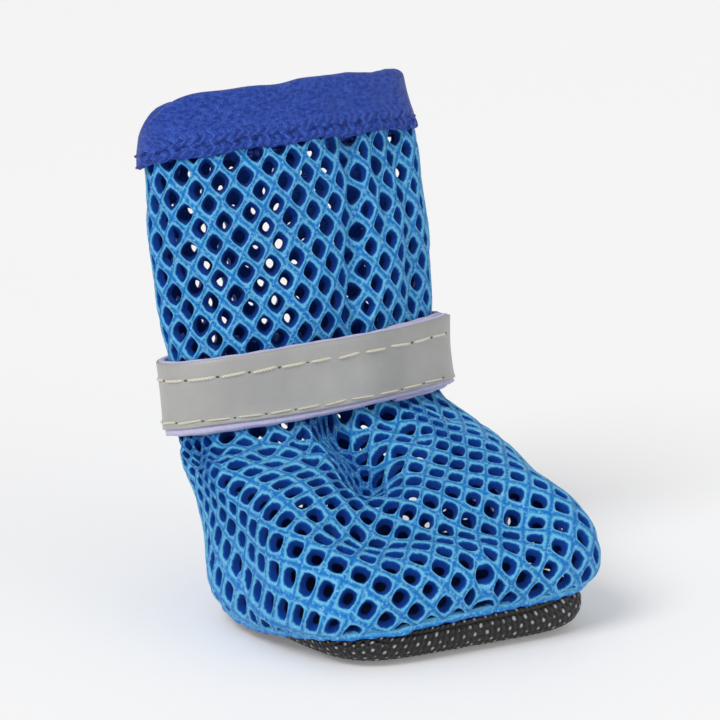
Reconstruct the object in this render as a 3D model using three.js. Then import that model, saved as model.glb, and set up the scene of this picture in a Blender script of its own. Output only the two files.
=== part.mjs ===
// A small dog boot of open mesh, as a three.js scene graph in millimetres, +Z up. The toe points along +X
// and the boot's own left is +Y. The origin is on the ground, under the middle of the sole. Each piece is
// one closed solid: the outsole, the hollow mesh upper, the ribbon that binds its collar, the hook-and-
// loop strap that closes it, and the reflective tape sewn on that strap.
import * as THREE from "three";

// ---- Driving sizes ----
const WALL = 1.8; // thickness of the spacer mesh
const GAP = 0.3; // clearance between pieces that touch
const SOLE_HALF_LENGTH = 25.9;
const SOLE_HALF_WIDTH = 24.6;
const SOLE_TOE_POWER = 5.4; // the outline's front half: 2 is an ellipse, and more is squarer
const SOLE_HEEL_POWER = 2.6;
const SOLE_THICK = 2.0;
const RIBBON = 0.8; // thickness of the collar's ribbon
const BINDING_WIDTH = 10; // what shows of the ribbon below the rim, on each side of the mesh
const STRAP_WIDTH = 13.0;
const BACKING = 1.0; // thickness of the hook-and-loop tape
const TAPE = 0.4; // thickness of the reflective tape
const TAPE_LOW = -5.3; // the tape's edges, from the strap's middle: the hook-and-loop tape shows below it
const TAPE_HIGH = 6.2;
const AROUND = 56; // points round the boot
const TURN = 2 * Math.PI;

// Sections of the upper, from the sole's seam up to the rim. Each is a ring in a plane through its front
// point and its back point. Its outline is a superellipse with one power for the toe half and one for the
// heel half. side moves it to the boot's left, and roll is how much higher its left side lies than its
// middle.
const COLUMNS = ["frontX", "frontZ", "backX", "backZ", "halfWidth", "side", "roll", "toePower", "heelPower"];
const ROWS = {
  seam: [25.5, 6.0, -25.2, 4.0, 24.2, 0.0, 0.8, 5.4, 2.6],
  bulge: [27.2, 8.8, -26.4, 7.4, 27.6, 0.2, 0.6, 4.9, 2.6],
  toeTop: [25.8, 15.2, -28.6, 14.4, 28.0, -0.1, 0.3, 4.1, 2.5],
  vamp: [17.6, 21.5, -33.2, 19.0, 27.3, -0.9, 0.0, 3.3, 2.4],
  instep: [2.6, 26.4, -36.6, 23.6, 26.2, -0.9, 0.2, 2.7, 2.3],
  ankle: [-12.4, 29.6, -38.4, 26.2, 24.0, -0.2, 0.6, 2.4, 2.2],
  strap: [-15.4, 36.8, -40.0, 31.6, 23.5, 0.0, 0.9, 2.2, 2.2],
  calf: [-17.4, 49.4, -42.0, 44.4, 24.8, 0.0, 0.4, 2.1, 2.1],
  shaft: [-20.8, 63.0, -44.2, 57.8, 25.7, 0.0, 0.0, 2.1, 2.1],
  neck: [-25.2, 74.5, -45.2, 69.0, 24.8, 0.0, 0.0, 2.1, 2.1],
  rim: [-28.4, 82.8, -45.8, 77.0, 23.4, 0.0, 0.0, 2.1, 2.1],
};
const named = (row) => Object.fromEntries(COLUMNS.map((column, i) => [column, row[i]]));
const SECTIONS = Object.values(ROWS).map(named);
const LAST = SECTIONS.length - 1;
const STRAP_HEIGHT = Object.keys(ROWS).indexOf("strap"); // height number of the strap's middle

const MATERIALS = {
  outsole: new THREE.MeshStandardMaterial({ color: 0x1d1c1d, roughness: 0.5, metalness: 0 }),
  mesh: new THREE.MeshStandardMaterial({ color: 0x2e7cc0, roughness: 0.55, metalness: 0 }),
  ribbon: new THREE.MeshStandardMaterial({ color: 0x304c9f, roughness: 0.6, metalness: 0 }),
  backing: new THREE.MeshStandardMaterial({ color: 0xc5c1e0, roughness: 0.8, metalness: 0 }),
  tape: new THREE.MeshStandardMaterial({ color: 0xa7a7a4, roughness: 0.4, metalness: 0.1 }),
};

// ---- The upper's own surface ----

// The section at a height number from 0 (seam) to LAST (rim), each column joined by a Catmull-Rom curve.
function sectionAt(height) {
  const i = Math.min(Math.max(Math.floor(height), 0), LAST - 1);
  const t = height - i;
  const rows = [i - 1, i, i + 1, i + 2].map((k) => SECTIONS[Math.min(Math.max(k, 0), LAST)]);
  const blend = (column) => {
    const [before, from, to, after] = rows.map((row) => row[column]);
    const slopeFrom = (to - before) / 2;
    const slopeTo = (after - from) / 2;
    const rise = to - from;
    const bend = 3 * rise - 2 * slopeFrom - slopeTo;
    return from + t * (slopeFrom + t * (bend + t * (slopeFrom + slopeTo - 2 * rise)));
  };
  return Object.fromEntries(COLUMNS.map((column) => [column, blend(column)]));
}

// A cosine or sine raised to 2/power with its sign kept, which squares the corners of an ellipse.
const squared = (value, power) => Math.sign(value) * Math.abs(value) ** (2 / power);

// The point of the upper's outer face at an angle (0 at the toe, a quarter turn at the boot's left) and a
// height number.
function outerPoint(angle, height) {
  const s = sectionAt(height);
  const power = Math.cos(angle) > 0 ? s.toePower : s.heelPower;
  const along = squared(Math.cos(angle), power);
  const across = squared(Math.sin(angle), power);
  return new THREE.Vector3(
    (s.frontX + s.backX) / 2 + (along * (s.frontX - s.backX)) / 2,
    s.side + across * s.halfWidth,
    (s.frontZ + s.backZ) / 2 + (along * (s.frontZ - s.backZ)) / 2 + across * s.roll,
  );
}

// The outward direction there, from two short steps along the surface.
function outward(angle, height) {
  const step = 0.02;
  const low = Math.max(height - step, 0);
  const high = Math.min(height + step, LAST);
  const round = outerPoint(angle + step, height).sub(outerPoint(angle - step, height));
  const up = outerPoint(angle, high).sub(outerPoint(angle, low));
  return round.cross(up).normalize();
}

// A point at a distance outside (positive) or inside (negative) the outer face.
function offsetPoint(angle, height, distance) {
  return outerPoint(angle, height).addScaledVector(outward(angle, height), distance);
}

// ---- Closed solids from rings of points ----

// Rings of equal length joined in turn into one surface; closed joins the last ring back to the first.
// Otherwise each end ring is filled by a fan round its own middle.
function solidOfRings(rings, { closed = false } = {}) {
  const count = rings[0].length;
  const positions = rings.flat().flatMap((p) => [p.x, p.y, p.z]);
  const faces = [];
  const strips = closed ? rings.length : rings.length - 1;
  for (let r = 0; r < strips; r++) {
    const next = (r + 1) % rings.length;
    for (let i = 0; i < count; i++) {
      const j = (i + 1) % count;
      const [a, b, c, d] = [r * count + i, r * count + j, next * count + j, next * count + i];
      faces.push(a, b, c, a, c, d);
    }
  }
  const addCap = (ring, first, flipped) => {
    const middle = ring.reduce((sum, p) => sum.add(p), new THREE.Vector3()).divideScalar(count);
    const centre = positions.length / 3;
    positions.push(middle.x, middle.y, middle.z);
    for (let i = 0; i < count; i++) {
      const [a, b] = [first + i, first + ((i + 1) % count)];
      faces.push(...(flipped ? [centre, b, a] : [centre, a, b]));
    }
  };
  if (!closed) {
    addCap(rings[0], 0, true);
    addCap(rings.at(-1), (rings.length - 1) * count, false);
  }
  const geometry = new THREE.BufferGeometry();
  geometry.setAttribute("position", new THREE.Float32BufferAttribute(positions, 3));
  geometry.setIndex(faces);
  geometry.computeVertexNormals();
  return geometry;
}

const ringOf = (pointAt) => Array.from({ length: AROUND }, (_, i) => pointAt((i / AROUND) * TURN));
const evenly = (from, to, count) => {
  const step = (to - from) / (count - 1);
  return Array.from({ length: count }, (_, i) => from + step * i);
};

// ---- The pieces ----

// The upper is one wall, open at the collar and underneath: its outer face going up, then its inner face
// coming down. Its rings lie a little closer together where the strap follows them.
const INSTEP_HEIGHT = Object.keys(ROWS).indexOf("instep");
const LOW_RINGS = 8;
const HIGH_RINGS = 20;

function upper() {
  const low = evenly(0, INSTEP_HEIGHT, LOW_RINGS).slice(0, -1);
  const heights = [...low, ...evenly(INSTEP_HEIGHT, LAST, HIGH_RINGS)];
  const outer = heights.map((h) => ringOf((angle) => outerPoint(angle, h)));
  const inner = heights.map((h) => ringOf((angle) => offsetPoint(angle, h, -WALL))).reverse();
  return solidOfRings([...outer, ...inner], { closed: true });
}

// Rings of the outsole's skin: share of the outline, and height. It is flat underneath and its edge turns
// up and in, to end just under the seam. follow is how far a ring rises and sinks with the seam, which is
// higher at the toe.
const SEAM_MIDDLE = (SECTIONS[0].frontZ + SECTIONS[0].backZ) / 2;
const SOLE_RIM = SEAM_MIDDLE - GAP;
const SOLE_PROFILE = [
  { share: 0.4, z: 0, follow: 0 },
  { share: 0.78, z: 0, follow: 0 },
  { share: 0.89, z: 0.35, follow: 0 },
  { share: 0.965, z: 1.4, follow: 0.2 },
  { share: 1.0, z: 3.0, follow: 0.6 },
  { share: 0.985, z: SOLE_RIM, follow: 1 },
  { share: 0.9, z: SOLE_RIM, follow: 1 },
  { share: 0.915, z: 3.4, follow: 0.7 },
  { share: 0.87, z: 2.4, follow: 0.3 },
  { share: 0.76, z: SOLE_THICK, follow: 0 },
  { share: 0.4, z: SOLE_THICK, follow: 0 },
];

function outsole() {
  const outline = ({ share, z, follow }) => (angle) => {
    const power = Math.cos(angle) > 0 ? SOLE_TOE_POWER : SOLE_HEEL_POWER;
    return new THREE.Vector3(
      share * SOLE_HALF_LENGTH * squared(Math.cos(angle), power),
      share * SOLE_HALF_WIDTH * squared(Math.sin(angle), power),
      z + follow * (outerPoint(angle, 0).z - SEAM_MIDDLE),
    );
  };
  return solidOfRings(SOLE_PROFILE.map((row) => ringOf(outline(row))));
}

// The height number that lies a given length along the surface from a start, upwards if positive, at one
// angle.
function walk(angle, start, length) {
  const step = 0.02 * Math.sign(length);
  let height = start;
  let left = Math.abs(length);
  while (left > 0) {
    const stride = outerPoint(angle, height).distanceTo(outerPoint(angle, height + step));
    height += step * Math.min(1, left / stride);
    left -= stride;
  }
  return height;
}

// The ribbon is folded over the rim: down the outside, and down the inside by the same width.
const BINDING_RINGS = 4;
const SHOULDER_PROUD = 0.6; // share of the ribbon's thickness by which its fold's shoulders stand proud
const SHOULDER_RISE = 0.7;

function binding() {
  const outside = GAP;
  const inside = -WALL - GAP;
  const over = (distance, rise) => (angle) => {
    const up = outerPoint(angle, LAST).sub(outerPoint(angle, LAST - 0.1)).normalize();
    return offsetPoint(angle, LAST, distance).addScaledVector(up, GAP + rise);
  };
  const at = (length, distance) => (angle) => offsetPoint(angle, walk(angle, LAST, -length), distance);
  const lengths = evenly(0, BINDING_WIDTH, BINDING_RINGS);
  const down = [...lengths].reverse();
  const section = [
    ...down.map((length) => at(length, outside + RIBBON)),
    over(outside + RIBBON * SHOULDER_PROUD, RIBBON * SHOULDER_RISE),
    over(-WALL / 2, RIBBON),
    over(inside - RIBBON * SHOULDER_PROUD, RIBBON * SHOULDER_RISE),
    ...lengths.map((length) => at(length, inside - RIBBON)),
    ...down.map((length) => at(length, inside)),
    over(-WALL / 2, 0),
    ...lengths.map((length) => at(length, outside)),
  ];
  return solidOfRings(section.map(ringOf), { closed: true });
}

// ---- The strap ----
// It starts on the boot's left, goes once round behind the heel and past the right side to the front,
// and its free end lies over its own start. Angles are in degrees along that way.
const STRAP_START = 20;
const STRAP_END = 428;
const TAPE_START = 76; // the tape begins just clear of the free end
const CLIMB_FROM = 340; // where the second layer begins to rise over the first
const CLIMB_TO = 378;
const STRAP_STEPS = 60;
const STRAP_GAP = 0.5; // the strap's clearance from the mesh, which bulges a little between its own rings

// How far the strap's inner face stands off the upper at an angle along it.
function standOff(degrees) {
  const climb = THREE.MathUtils.smoothstep(degrees, CLIMB_FROM, CLIMB_TO);
  return STRAP_GAP + climb * (BACKING + GAP);
}

// A band's rings are its cross-sections, from one end to the other. Each lies along the upper from the
// band's low edge to its high edge, measured from the strap's middle, at a distance outside the strap's
// inner face.
const BAND_POINTS = 4;

function band(from, to, { low, high, distance, thick }) {
  const offsets = evenly(low, high, BAND_POINTS);
  return solidOfRings(
    evenly(from, to, STRAP_STEPS).map((degrees) => {
      const angle = THREE.MathUtils.degToRad(degrees);
      const near = standOff(degrees) + distance;
      const heights = offsets.map((offset) => walk(angle, STRAP_HEIGHT, offset));
      const face = (out) => heights.map((height) => offsetPoint(angle, height, out));
      return [...face(near), ...face(near + thick).reverse()];
    }),
  );
}

const HALF_STRAP = STRAP_WIDTH / 2;
const STRAP_LAYER = { low: -HALF_STRAP, high: HALF_STRAP, distance: 0, thick: BACKING };
const TAPE_LAYER = { low: TAPE_LOW, high: TAPE_HIGH, distance: BACKING + GAP, thick: TAPE };
const strapBacking = () => band(STRAP_START, STRAP_END, STRAP_LAYER);
const reflectiveTape = () => band(TAPE_START, STRAP_END, TAPE_LAYER);

// ---- The assembly ----
function piece(name, geometry, material) {
  const mesh = new THREE.Mesh(geometry, material);
  mesh.name = name;
  return mesh;
}

const boot = new THREE.Group();
boot.add(
  piece("outsole", outsole(), MATERIALS.outsole),
  piece("upper", upper(), MATERIALS.mesh),
  piece("collar_binding", binding(), MATERIALS.ribbon),
  piece("strap_backing", strapBacking(), MATERIALS.backing),
  piece("reflective_tape", reflectiveTape(), MATERIALS.tape),
);

export default boot;
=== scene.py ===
# %% [markdown]
# # A dog boot of open mesh
# The real boot is a sock of warp-knit mesh with large round holes. It is sewn to a sole of coarse black
# cloth, bound at the collar with a folded ribbon, and closed with a strap of hook-and-loop tape that carries
# a reflective tape. The CAD model holds the sizes. Here each soft part is made again as a surface with its
# real texture, on the same form, and the plain CAD solid is hidden behind it.

import math

import bmesh
import bpy
import numpy as np
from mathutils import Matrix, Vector


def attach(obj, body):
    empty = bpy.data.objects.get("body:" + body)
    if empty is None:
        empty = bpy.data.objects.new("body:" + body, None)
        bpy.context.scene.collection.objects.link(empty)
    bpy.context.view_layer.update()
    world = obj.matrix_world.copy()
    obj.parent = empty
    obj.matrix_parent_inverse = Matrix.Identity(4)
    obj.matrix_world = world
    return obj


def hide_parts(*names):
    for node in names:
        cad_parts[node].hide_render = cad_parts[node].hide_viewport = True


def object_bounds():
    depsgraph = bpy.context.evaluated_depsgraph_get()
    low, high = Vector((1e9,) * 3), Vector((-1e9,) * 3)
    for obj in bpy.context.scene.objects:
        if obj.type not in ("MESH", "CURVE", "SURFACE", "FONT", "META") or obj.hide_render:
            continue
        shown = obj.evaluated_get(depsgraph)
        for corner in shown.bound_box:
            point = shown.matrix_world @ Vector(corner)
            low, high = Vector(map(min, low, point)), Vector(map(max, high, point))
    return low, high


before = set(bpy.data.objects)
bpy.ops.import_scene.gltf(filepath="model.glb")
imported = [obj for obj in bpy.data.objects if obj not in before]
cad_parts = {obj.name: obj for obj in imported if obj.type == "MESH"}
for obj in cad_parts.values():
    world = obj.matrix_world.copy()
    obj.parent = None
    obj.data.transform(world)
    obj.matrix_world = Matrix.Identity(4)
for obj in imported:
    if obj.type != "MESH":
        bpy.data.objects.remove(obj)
cad_box = [list(corner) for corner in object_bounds()]
MM = 0.001  # the shapes below are worked out in millimetres and put into meshes in metres
TURN = 2 * math.pi
print("CAD box in mm:", [[round(x / MM, 1) for x in corner] for corner in cad_box])

# %% [markdown]
# ## The form of the upper
# A soft boot has no flat faces, so its form is a stack of rounded sections, like the lasts that shoes are
# made on. Each section is a superellipse, a rounded rectangle whose power says how square it is, lying in a
# plane that tilts from its front point to its back point. It may sit a little to the boot's left (side), and
# be higher on its left than in its middle (roll). A smooth curve through the table's rows joins them.

# %% The sections of the upper
# Each row: front x, front z, back x, back z, half width, side, roll, toe power, heel power.
SECTIONS = {
    "seam": (25.5, 6.0, -25.2, 4.0, 24.2, 0.0, 0.8, 5.4, 2.6),
    "bulge": (27.2, 8.8, -26.4, 7.4, 27.6, 0.2, 0.6, 4.9, 2.6),
    "toe top": (25.8, 15.2, -28.6, 14.4, 28.0, -0.1, 0.3, 4.1, 2.5),
    "vamp": (17.6, 21.5, -33.2, 19.0, 27.3, -0.9, 0.0, 3.3, 2.4),
    "instep": (2.6, 26.4, -36.6, 23.6, 26.2, -0.9, 0.2, 2.7, 2.3),
    "ankle": (-12.4, 29.6, -38.4, 26.2, 24.0, -0.2, 0.6, 2.4, 2.2),
    "strap": (-15.4, 36.8, -40.0, 31.6, 23.5, 0.0, 0.9, 2.2, 2.2),
    "calf": (-17.4, 49.4, -42.0, 44.4, 24.8, 0.0, 0.4, 2.1, 2.1),
    "shaft": (-20.8, 63.0, -44.2, 57.8, 25.7, 0.0, 0.0, 2.1, 2.1),
    "neck": (-25.2, 74.5, -45.2, 69.0, 24.8, 0.0, 0.0, 2.1, 2.1),
    "rim": (-28.4, 82.8, -45.8, 77.0, 23.4, 0.0, 0.0, 2.1, 2.1),
}
TOP = len(SECTIONS) - 1
STRAP_HEIGHT = list(SECTIONS).index("strap")


def through(rows, place):
    """Rows of a table joined by a Catmull-Rom curve: between two rows it is the cubic whose slope at each
    row is half the step from the row before to the row after. place is a row number with a fraction."""
    rows = np.asarray(rows, float)
    last = len(rows) - 1
    i = np.clip(np.floor(place).astype(int), 0, last - 1)
    t = (place - i)[..., None]
    before, a, b, after = (rows[np.clip(i + k, 0, last)] for k in (-1, 0, 1, 2))
    slope_a = (b - before) / 2
    slope_b = (after - a) / 2
    rise = b - a
    return a + t * (slope_a + t * (3 * rise - 2 * slope_a - slope_b + t * (slope_a + slope_b - 2 * rise)))


def squared(value, power):
    """A sine or cosine raised to 2/power with its sign kept."""
    return np.sign(value) * np.abs(value) ** (2 / power)


def last_point(angle, height):
    """The smooth form: the point at an angle round the section, 0 at the toe and a quarter turn at the
    boot's left."""
    s = through(list(SECTIONS.values()), height)
    front_x, front_z, back_x, back_z, half_width, side, roll, toe_power, heel_power = np.moveaxis(s, -1, 0)
    power = np.where(np.cos(angle) > 0, toe_power, heel_power)
    along = squared(np.cos(angle), power)
    across = squared(np.sin(angle), power)
    x = (front_x + back_x) / 2 + along * (front_x - back_x) / 2
    y = side + across * half_width
    z = (front_z + back_z) / 2 + along * (front_z - back_z) / 2 + across * roll
    return np.stack([x, y, z], axis=-1)


print("the sections reach from", SECTIONS["seam"][1], "to", SECTIONS["rim"][1], "mm high")

# %% [markdown]
# ## Cloth coordinates
# A pattern that follows cloth needs lengths along the cloth and not angles. So every place on the boot gets
# two numbers: around, in turns of the boot from the middle of the toe towards the boot's left, measured along
# the section, and rise, in millimetres up the cloth from the strap's middle line. Both are tabulated once.

# %% Tables from cloth coordinates to the form
HEIGHTS = np.linspace(0, TOP, 241)
TURNS = np.linspace(0, 1, 361)
RISES = np.linspace(-75, 60, 541)
FINE_TURN = np.linspace(0, TURN, 1441)


def running_length(points, axis):
    """The length walked from the first point along one axis of an array of points."""
    steps = np.linalg.norm(np.diff(points, axis=axis), axis=-1)
    start = np.zeros_like(np.take(steps, [0], axis=axis))
    return np.concatenate([start, np.cumsum(steps, axis=axis)], axis=axis)


def cloth_tables():
    """angle at (height, around), rise at (height, around), and height at (rise, around)."""
    rings = running_length(last_point(FINE_TURN[None, :], HEIGHTS[:, None]), axis=1)
    angle = np.stack([np.interp(TURNS * ring[-1], ring, FINE_TURN) for ring in rings])
    up = running_length(last_point(angle, HEIGHTS[:, None]), axis=0)
    rise = up - up[np.abs(HEIGHTS - STRAP_HEIGHT).argmin()]
    height = np.stack([np.interp(RISES, column, HEIGHTS) for column in rise.T], axis=1)
    return angle, rise, height, rings[:, -1]


ANGLE_AT, RISE_AT, HEIGHT_AT, GIRTHS = cloth_tables()


def looked_up(table, row, around):
    """A value between the table's entries, blended from the four nearest. The table wraps in around."""
    row = np.clip(row, 0, table.shape[0] - 1.001)
    column = (around % 1) * (table.shape[1] - 1)
    r, c = row.astype(int), np.minimum(column.astype(int), table.shape[1] - 2)
    t, s = row - r, column - c
    low = table[r, c] * (1 - s) + table[r, c + 1] * s
    high = table[r + 1, c] * (1 - s) + table[r + 1, c + 1] * s
    return low * (1 - t) + high * t


def from_toe(around):
    """Turns from the middle of the toe: up to a half on the boot's left, and down to minus a half on its
    right."""
    return (around + 0.5) % 1 - 0.5


def height_at(around, rise):
    row = (rise - RISES[0]) / (RISES[1] - RISES[0])
    return looked_up(HEIGHT_AT, row, around)


def seam_rise(around):
    """The rise of the seam with the sole, which is where the cloth ends below."""
    return np.interp(around % 1, TURNS, RISE_AT[0])


def rim_rise(around):
    return np.interp(around % 1, TURNS, RISE_AT[-1])


STRAP_GIRTH = GIRTHS[np.abs(HEIGHTS - STRAP_HEIGHT).argmin()]
print("girth at the strap and at the widest:", np.round([STRAP_GIRTH, GIRTHS.max()], 1), "mm")

# %% [markdown]
# ## Folds placed one by one
# Empty cloth dents and gathers. Each fold here is a soft trough or ridge along a short line on the cloth: its
# height falls away from the line as a bell curve. The places are in millimetres along the cloth, so they stay
# where a hand would press them in, whatever the form does.

# %% The folds
# Each row: the line's start as across and rise, its end as across and rise, half width, depth.
FOLDS = {
    "valley under the strap": (-3.0, -6, -4.0, -22, 4.4, -3.5),
    "valley down the vamp": (-4.0, -22, -12.0, -42, 5.0, -2.7),
    "shelf over the toe": (-15.0, -38, 8.0, -43, 4.6, -2.4),
    "right lobe of the toe": (-27.0, -18, -25.0, -42, 8.5, 1.5),
    "left lobe of the toe": (15.0, -14, 17.0, -46, 6.5, 1.6),
    "edge beside the valley": (3.0, -8, 1.0, -24, 2.6, 0.9),
    "toe's front lip": (-14.0, -52, 12.0, -52, 4.0, 0.8),
    "gather one": (-19.0, -5, -21.0, -15, 1.6, -0.7),
    "gather two": (-12.0, -5, -13.0, -19, 1.4, -0.9),
    "gather three": (-7.5, -5, -8.5, -24, 1.1, -0.7),
    "gather four": (8.0, -5, 9.0, -18, 1.5, -0.7),
    "gather five": (18.0, -5, 21.0, -14, 1.5, -0.6),
    "gather six": (-27.0, -5, -30.0, -14, 1.6, -0.8),
    "gather seven": (-33.0, -5, -36.0, -16, 1.6, -0.8),
    "crease down the shaft": (10.0, 40, 4.0, 8, 2.2, -1.7),
    "swell beside the crease": (-8.0, 36, -8.0, 12, 9.0, 0.9),
    "small crease at the shaft's left": (17.0, 40, 15.0, 22, 1.8, -0.8),
    "fold at the shaft's left": (23.0, 38, 22.0, 10, 2.8, -1.0),
    "fold at the shaft's right": (-30.0, 36, -28.0, 8, 2.6, -1.1),
    "second fold at the shaft's right": (-36.0, 30, -33.0, 10, 2.2, -0.8),
    "hollow at the back": (60.0, 30, 58.0, 8, 7.0, -0.8),
    "crease at the back": (-60.0, 38, -66.0, 9, 2.4, -1.2),
    "crease at the back's left": (45.0, 36, 42.0, 12, 2.4, -1.0),
    "heel's fold": (52.0, -8, 66.0, -14, 3.0, -1.2),
    "heel's right fold": (-44.0, -6, -52.0, -20, 3.5, -1.2),
    "heel's left fold": (40.0, -7, 46.0, -22, 3.5, -1.2),
}
CLOTH_TURN = 150.0  # the millimetres that the folds' across counts for one turn
UNEVEN = 0.16  # the height of each of the three slow waves all over the cloth
STRAP_HOLDS = 7.0  # how far from its middle line the strap holds the cloth flat
SEAM_HOLDS = 5.0
RIM_HOLDS = 8.0
SAG_PLACE = (-0.27, 0.11)  # where the cloth hangs over the sole: turns from the toe, and reach in turns
SAG_RISE = 12.0  # how far up from the seam the sag reaches
SAG_SHIFT = (0.0, -2.0, -2.6)


def bell(away, reach):
    """A bell curve: e to the power of minus the square of away over reach."""
    return np.exp(-((away / reach) ** 2))


def eased(value, start, end):
    """0 before the start, 1 after the end, and a smooth step between."""
    t = np.clip((value - start) / (end - start), 0, 1)
    return t * t * (3 - 2 * t)


def fold_height(around, rise):
    """The sum over the folds of depth times the bell curve of the distance to the fold's line, plus a slow
    unevenness from three crossed waves."""
    across = from_toe(around) * CLOTH_TURN
    total = np.zeros(np.broadcast(across, rise).shape)
    for x0, y0, x1, y1, wide, depth in FOLDS.values():
        dx, dy = x1 - x0, y1 - y0
        along = np.clip(((across - x0) * dx + (rise - y0) * dy) / (dx * dx + dy * dy), 0, 1)
        far = np.hypot(across - x0 - along * dx, rise - y0 - along * dy)
        total += depth * bell(far, wide)
    turn = around * TURN
    waves = np.sin(5 * turn + 0.21 * rise) + np.sin(8 * turn - 0.27 * rise + 1)
    return total + UNEVEN * (waves + np.sin(3 * turn + 0.4 * rise + 2))


def held_flat(around, rise):
    """1 where the cloth is free, falling to 0 under the strap, at the seam and at the rim, which hold it."""
    strap = 1 - np.exp(-((rise / STRAP_HOLDS) ** 4))
    seam = eased(rise - seam_rise(around), 0, SEAM_HOLDS)
    rim = np.clip((rim_rise(around) - rise) / RIM_HOLDS, 0, 1)
    return strap * seam * rim


def unit(vectors):
    return vectors / np.maximum(np.linalg.norm(vectors, axis=-1, keepdims=True), 1e-9)


def form_and_normal(surface, around, rise):
    """A surface's points and outward normals, from the cross product of short steps along the cloth."""
    step_around, step_rise = 0.0015, 0.25
    sideways = surface(around + step_around, rise) - surface(around - step_around, rise)
    upward = surface(around, rise + step_rise) - surface(around, rise - step_rise)
    return surface(around, rise), unit(np.cross(sideways, upward))


def smooth_cloth(around, rise):
    height = height_at(around, rise)
    angle = looked_up(ANGLE_AT, height / TOP * (len(HEIGHTS) - 1), around)
    return last_point(angle, height)


def sag(around, rise):
    """On the boot's right the slack cloth hangs over the sole's edge: a shift outwards and down that fades
    within a sixth of a turn either way, and within two centimetres above the seam."""
    middle, reach = SAG_PLACE
    amount = bell(from_toe(around) - middle, reach) * bell(rise - seam_rise(around), SAG_RISE)
    return amount[..., None] * np.array(SAG_SHIFT)


def folded_cloth(around, rise):
    """The smooth form moved along its own normal by the folds, and by the sag."""
    points, normals = form_and_normal(smooth_cloth, around, rise)
    folds = fold_height(around, rise) * held_flat(around, rise)
    return points + normals * folds[..., None] + sag(around, rise)


def on_cloth(around, rise, proud, folded=True):
    """Points that stand proud of the cloth's outer face by some millimetres."""
    points, normals = form_and_normal(folded_cloth if folded else smooth_cloth, around, rise)
    return points + normals * np.asarray(proud)[..., None]


print(len(FOLDS), "folds, the deepest", min(fold[5] for fold in FOLDS.values()), "mm")

# %% [markdown]
# ## Putting surfaces into meshes
# Every piece is a grid of points, so one helper lists the grid's four-sided faces, closing it round either
# way, and another fills the mesh, its map and its shading in whole arrays.


# %% Grid helpers
def grid_faces(rows, columns, wrap_rows=False, wrap_columns=False):
    """The faces of a grid of points, and each corner's place in the grid from 0 to 1 as its map."""
    r, c = np.meshgrid(
        np.arange(rows if wrap_rows else rows - 1),
        np.arange(columns if wrap_columns else columns - 1),
        indexing="ij",
    )
    corner_r = np.stack([r, r, r + 1, r + 1], axis=-1)
    corner_c = np.stack([c, c + 1, c + 1, c], axis=-1)
    faces = (corner_r % rows) * columns + corner_c % columns
    tall = rows if wrap_rows else rows - 1
    wide = columns if wrap_columns else columns - 1
    uv = np.stack([corner_c / wide, corner_r / tall], axis=-1)
    return faces.reshape(-1, 4), uv.reshape(-1, 4, 2)


def linked(name, data):
    made = bpy.data.objects.new(name, data)
    bpy.context.scene.collection.objects.link(made)
    return made


def mesh_piece(name, points, faces, uv, stands_for=(), slot=None, weld=None, flip=True):
    """A finished piece from points in millimetres, faces of four corners, and a map value for each corner."""
    if flip:
        faces, uv = faces[:, ::-1], uv[:, ::-1]
    mesh = bpy.data.meshes.new(name)
    mesh.from_pydata((points.reshape(-1, 3) * MM).tolist(), [], faces.tolist())
    mesh.uv_layers.new(name="Map").data.foreach_set("uv", uv.astype(np.float32).ravel())
    mesh.polygons.foreach_set("use_smooth", np.ones(len(faces), bool))
    piece = linked(name, mesh)
    if weld:
        weld_points(mesh, weld * MM)
    mesh.update()
    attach(piece, "root")
    if stands_for:
        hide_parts(*stands_for)
    print(name, "has", len(mesh.polygons), "faces")
    return piece


def weld_points(mesh, distance):
    """Joins points that lie together, and drops the faces that this leaves with no area."""
    work = bmesh.new()
    work.from_mesh(mesh)
    bmesh.ops.remove_doubles(work, verts=work.verts, dist=distance)
    bmesh.ops.dissolve_degenerate(work, edges=work.edges, dist=distance)
    work.to_mesh(mesh)
    work.free()


def many(points, faces, uv):
    """Joins copies of one grid: points is (copies, points, 3), and the faces and map are the single
    grid's."""
    copies, each = points.shape[:2]
    all_faces = (faces[None] + (np.arange(copies) * each)[:, None, None]).reshape(-1, 4)
    return points.reshape(-1, 3), all_faces, np.tile(uv, (copies, 1, 1))


# %% [markdown]
# ## Gathers and grain
# The whole upper is one cloth with the same number of columns of holes all round, so where the boot is wide
# the columns stand apart, and where the strap draws the cloth in they crowd together. The crowding is a
# density round the boot: a level part and a bell curve for each place where the columns are dense. One set
# holds at the ankle and another at the toe, and each fades out along the rise.

# %% Where the columns crowd
ANKLE_GATHERS = {  # middle, in turns of the boot, half width in turns, share of all the columns
    "under the strap's middle": (-0.036, 0.024, 0.110),
    "right side": (-0.225, 0.024, 0.050),
    "left of the middle": (0.095, 0.018, 0.030),
    "left side": (0.250, 0.025, 0.040),
    "heel": (0.500, 0.045, 0.060),
}
TOE_GRAIN = {
    "toe": (0.0, 0.110, 0.060),
    "heel": (0.5, 0.130, 0.040),
}


def crowding(places):
    """How far each column moves, in turns. The density is a level part plus a bell curve for each place,
    and its running sum gives the column at each place; read the other way round, it gives the place of each
    column."""
    fine = np.linspace(-0.5, 0.5, 2001)
    density = np.full(fine.shape, 1 - sum(row[2] for row in places.values()))
    for middle, wide, share in places.values():
        dense = bell(from_toe(fine - middle), wide)
        density += share * dense / dense.mean()
    column = np.cumsum(density) / density.sum()
    column = column - np.interp(0.0, fine, column)
    spread = np.concatenate([column - 1, column, column + 1])
    return np.interp(TURNS, spread, np.concatenate([fine - 1, fine, fine + 1])) - TURNS


ANKLE_SHIFT = crowding(ANKLE_GATHERS)
TOE_SHIFT = crowding(TOE_GRAIN)


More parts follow.
